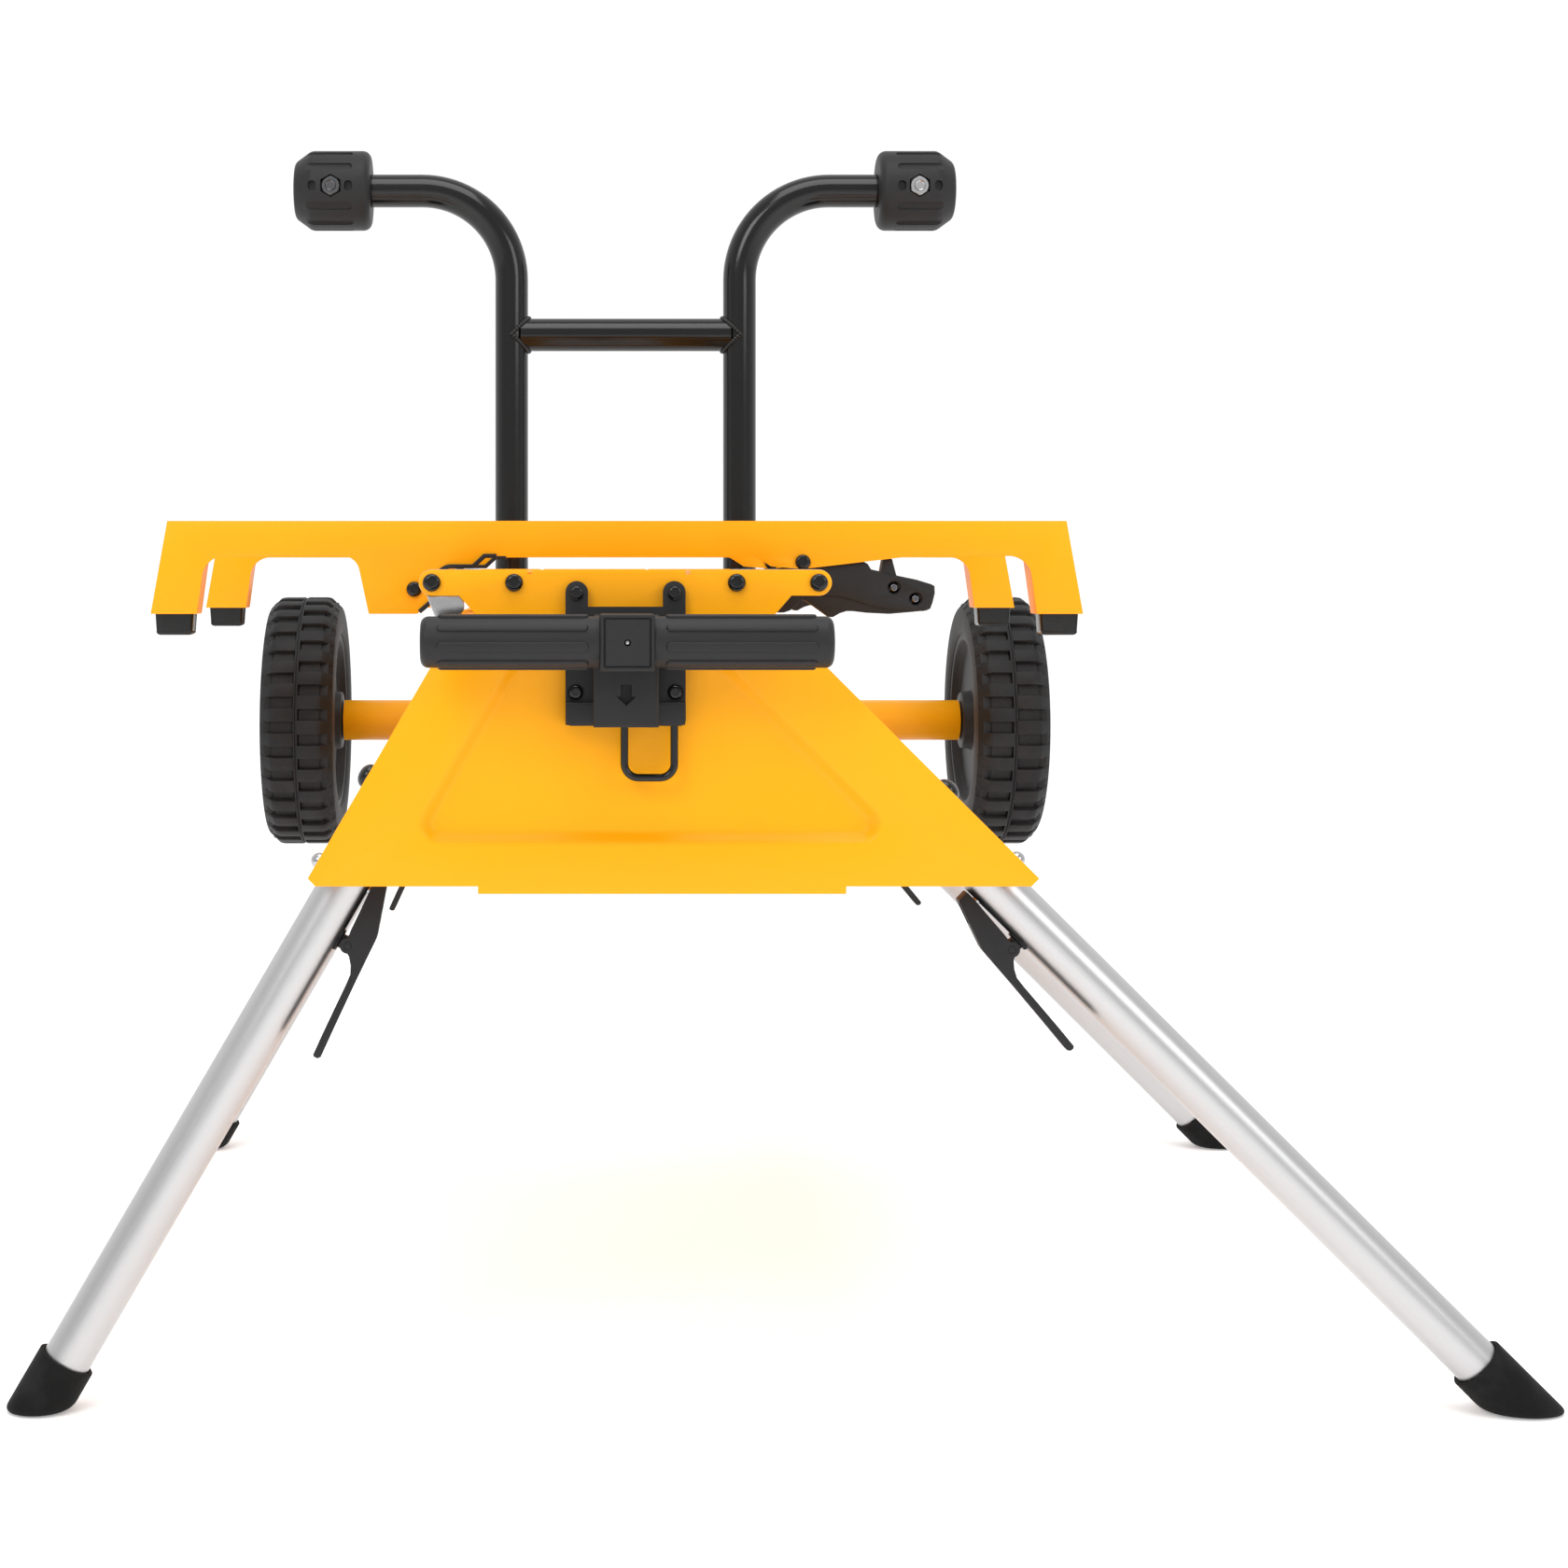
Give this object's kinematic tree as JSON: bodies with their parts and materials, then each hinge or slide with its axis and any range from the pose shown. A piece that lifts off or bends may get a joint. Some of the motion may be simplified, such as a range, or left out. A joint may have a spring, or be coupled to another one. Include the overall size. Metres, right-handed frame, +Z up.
{
  "type": "table saw stand",
  "caption": "Folding wheeled stand with splayed tube legs, a pressed steel body, saw brackets that hook and latch on rods, a pull handle and a bent tube horn frame.",
  "frame": {"origin": "on the floor, under the middle of the whole standing stand", "axes": "+Z up, +Y from the pull handle towards the wheels, +X to the right seen from the pull handle"},
  "size_m": [1.0089, 0.9975, 0.9523],
  "materials": {
    "yellow_steel": "smooth yellow-orange powder coat",
    "leg_aluminium": "satin drawn tube",
    "black_rubber": "matt moulded rubber",
    "tyre_rubber": "solid treaded tyre",
    "bright_steel": "bright zinc",
    "black_plastic": "fine grained black moulding",
    "black_gloss_steel": "gloss black coat",
    "dark_steel": "plain steel"
  },
  "bodies": {
    "frame": {"front_end_plate": "yellow_steel", "rear_end_plate": "yellow_steel", "left_side_panel": "yellow_steel", "right_side_panel": "yellow_steel", "left_hook_rod": "dark_steel", "right_hook_rod": "dark_steel", "body_rails": "yellow_steel", "end_plate_bolts": "black_gloss_steel", "rod_supports": "bright_steel", "leg_pivot_bolts": "black_gloss_steel", "axle_tube": "yellow_steel", "axle_rod": "dark_steel", "left_horn_tube": "black_gloss_steel", "right_horn_tube": "black_gloss_steel", "horn_crossbar": "black_gloss_steel", "left_horn_knob": "black_plastic", "right_horn_knob": "black_plastic", "horn_bolts": "black_gloss_steel", "handle_sleeve": "dark_steel", "sleeve_straps": "yellow_steel", "handle_clip": "black_plastic", "clip_screws": "black_gloss_steel", "near_saw_bracket": "yellow_steel", "far_saw_bracket": "yellow_steel", "near_hook_liner": "black_plastic", "far_hook_liner": "black_plastic", "bracket_bolts": "black_gloss_steel", "bracket_pads": "black_rubber"},
    "pull_handle": {"handle_stem": "dark_steel", "handle_hub": "black_plastic", "left_grip": "black_plastic", "right_grip": "black_plastic"},
    "bail": {"wire_bail": "black_gloss_steel"},
    "left_wheel": {"left_wheel_tyre": "tyre_rubber", "left_wheel_hub": "black_plastic"},
    "right_wheel": {"right_wheel_tyre": "tyre_rubber", "right_wheel_hub": "black_plastic"},
    "near_left_leg": {"near_left_leg": "leg_aluminium", "near_left_boot": "black_rubber", "near_left_lever_saddle": "black_plastic"},
    "near_left_lever": {"near_left_release_lever": "black_plastic"},
    "near_left_pin": {"near_left_lock_pin": "bright_steel"},
    "near_right_leg": {"near_right_leg": "leg_aluminium", "near_right_boot": "black_rubber", "near_right_lever_saddle": "black_plastic"},
    "near_right_lever": {"near_right_release_lever": "black_plastic"},
    "near_right_pin": {"near_right_lock_pin": "bright_steel"},
    "far_left_leg": {"far_left_leg": "leg_aluminium", "far_left_boot": "black_rubber", "far_left_lever_saddle": "black_plastic"},
    "far_left_lever": {"far_left_release_lever": "black_plastic"},
    "far_left_pin": {"far_left_lock_pin": "bright_steel"},
    "far_right_leg": {"far_right_leg": "leg_aluminium", "far_right_boot": "black_rubber", "far_right_lever_saddle": "black_plastic"},
    "far_right_lever": {"far_right_release_lever": "black_plastic"},
    "far_right_pin": {"far_right_lock_pin": "bright_steel"},
    "near_latch": {"near_latch_lever": "black_plastic"},
    "far_latch": {"far_latch_lever": "black_plastic"}
  },
  "joints": [
    {"name": "pull_handle_slide", "type": "slide", "parent": "frame", "child": "pull_handle", "axis": [0, -1, 0], "range_m": [0, 0.25]},
    {"name": "bail_pull", "type": "slide", "parent": "frame", "child": "bail", "axis": [0, 0, -1], "range_m": [0, 0.008], "stiffness_N_per_m": 400, "springref_m": -0.004},
    {"name": "left_wheel_spin", "type": "hinge", "parent": "frame", "child": "left_wheel", "pos_m": [-0.38852, 0.38155, 0.4015], "axis": [1, 0, 0], "continuous": true},
    {"name": "right_wheel_spin", "type": "hinge", "parent": "frame", "child": "right_wheel", "pos_m": [0.26748, 0.38155, 0.4015], "axis": [1, 0, 0], "continuous": true},
    {"name": "near_left_leg_fold", "type": "hinge", "parent": "frame", "child": "near_left_leg", "pos_m": [-0.25312, -0.38145, 0.39835], "axis": [0.8643, 0, -0.503], "range_deg": [0, 98]},
    {"name": "near_left_lever_press", "type": "hinge", "parent": "near_left_leg", "child": "near_left_lever", "pos_m": [-0.28471, -0.38677, 0.29934], "axis": [-0.0263, 0.9986, -0.0452], "range_deg": [0, 12.1], "stiffness_Nm_per_rad": 1, "springref_deg": -11.46},
    {"name": "near_left_pin_draw", "type": "slide", "parent": "near_left_leg", "child": "near_left_pin", "axis": [0.8643, 0, -0.503], "range_m": [0, 0.00787]},
    {"name": "near_right_leg_fold", "type": "hinge", "parent": "frame", "child": "near_right_leg", "pos_m": [0.09414, -0.38145, 0.3845], "axis": [0.7059, 0, 0.7083], "range_deg": [0, 98]},
    {"name": "near_right_lever_press", "type": "hinge", "parent": "near_right_leg", "child": "near_right_lever", "pos_m": [0.15012, -0.38677, 0.29695], "axis": [-0.0371, -0.9986, 0.0369], "range_deg": [0, 12.1], "stiffness_Nm_per_rad": 1, "springref_deg": -11.46},
    {"name": "near_right_pin_draw", "type": "slide", "parent": "near_right_leg", "child": "near_right_pin", "axis": [-0.7059, 0, -0.7083], "range_m": [0, 0.00787]},
    {"name": "far_left_leg_fold", "type": "hinge", "parent": "frame", "child": "far_left_leg", "pos_m": [-0.25312, 0.33155, 0.39835], "axis": [-0.8643, 0, 0.503], "range_deg": [0, 88]},
    {"name": "far_left_lever_press", "type": "hinge", "parent": "far_left_leg", "child": "far_left_lever", "pos_m": [-0.28471, 0.33687, 0.29934], "axis": [0.0263, 0.9986, 0.0452], "range_deg": [0, 12.1], "stiffness_Nm_per_rad": 1, "springref_deg": -11.46},
    {"name": "far_left_pin_draw", "type": "slide", "parent": "far_left_leg", "child": "far_left_pin", "axis": [0.8643, 0, -0.503], "range_m": [0, 0.00787]},
    {"name": "far_right_leg_fold", "type": "hinge", "parent": "frame", "child": "far_right_leg", "pos_m": [0.09414, 0.33155, 0.3845], "axis": [-0.7059, 0, -0.7083], "range_deg": [0, 88]},
    {"name": "far_right_lever_press", "type": "hinge", "parent": "far_right_leg", "child": "far_right_lever", "pos_m": [0.15012, 0.33687, 0.29695], "axis": [0.0371, -0.9986, -0.0369], "range_deg": [0, 12.1], "stiffness_Nm_per_rad": 1, "springref_deg": -11.46},
    {"name": "far_right_pin_draw", "type": "slide", "parent": "far_right_leg", "child": "far_right_pin", "axis": [-0.7059, 0, -0.7083], "range_m": [0, 0.00787]},
    {"name": "near_latch_lift", "type": "hinge", "parent": "frame", "child": "near_latch", "pos_m": [0.03468, -0.15945, 0.551], "axis": [0, -1, 0], "range_deg": [0, 18], "stiffness_Nm_per_rad": 2, "springref_deg": -11.46},
    {"name": "far_latch_lift", "type": "hinge", "parent": "frame", "child": "far_latch", "pos_m": [0.03468, 0.13655, 0.551], "axis": [0, -1, 0], "range_deg": [0, 18], "stiffness_Nm_per_rad": 2, "springref_deg": -11.46}
  ],
  "couplings": [
    {"joint": "near_left_lever_press", "follows": "near_left_pin_draw", "rad_per_m": 26.596},
    {"joint": "near_right_lever_press", "follows": "near_right_pin_draw", "rad_per_m": 26.596},
    {"joint": "far_left_lever_press", "follows": "far_left_pin_draw", "rad_per_m": 26.596},
    {"joint": "far_right_lever_press", "follows": "far_right_pin_draw", "rad_per_m": 26.596}
  ]
}
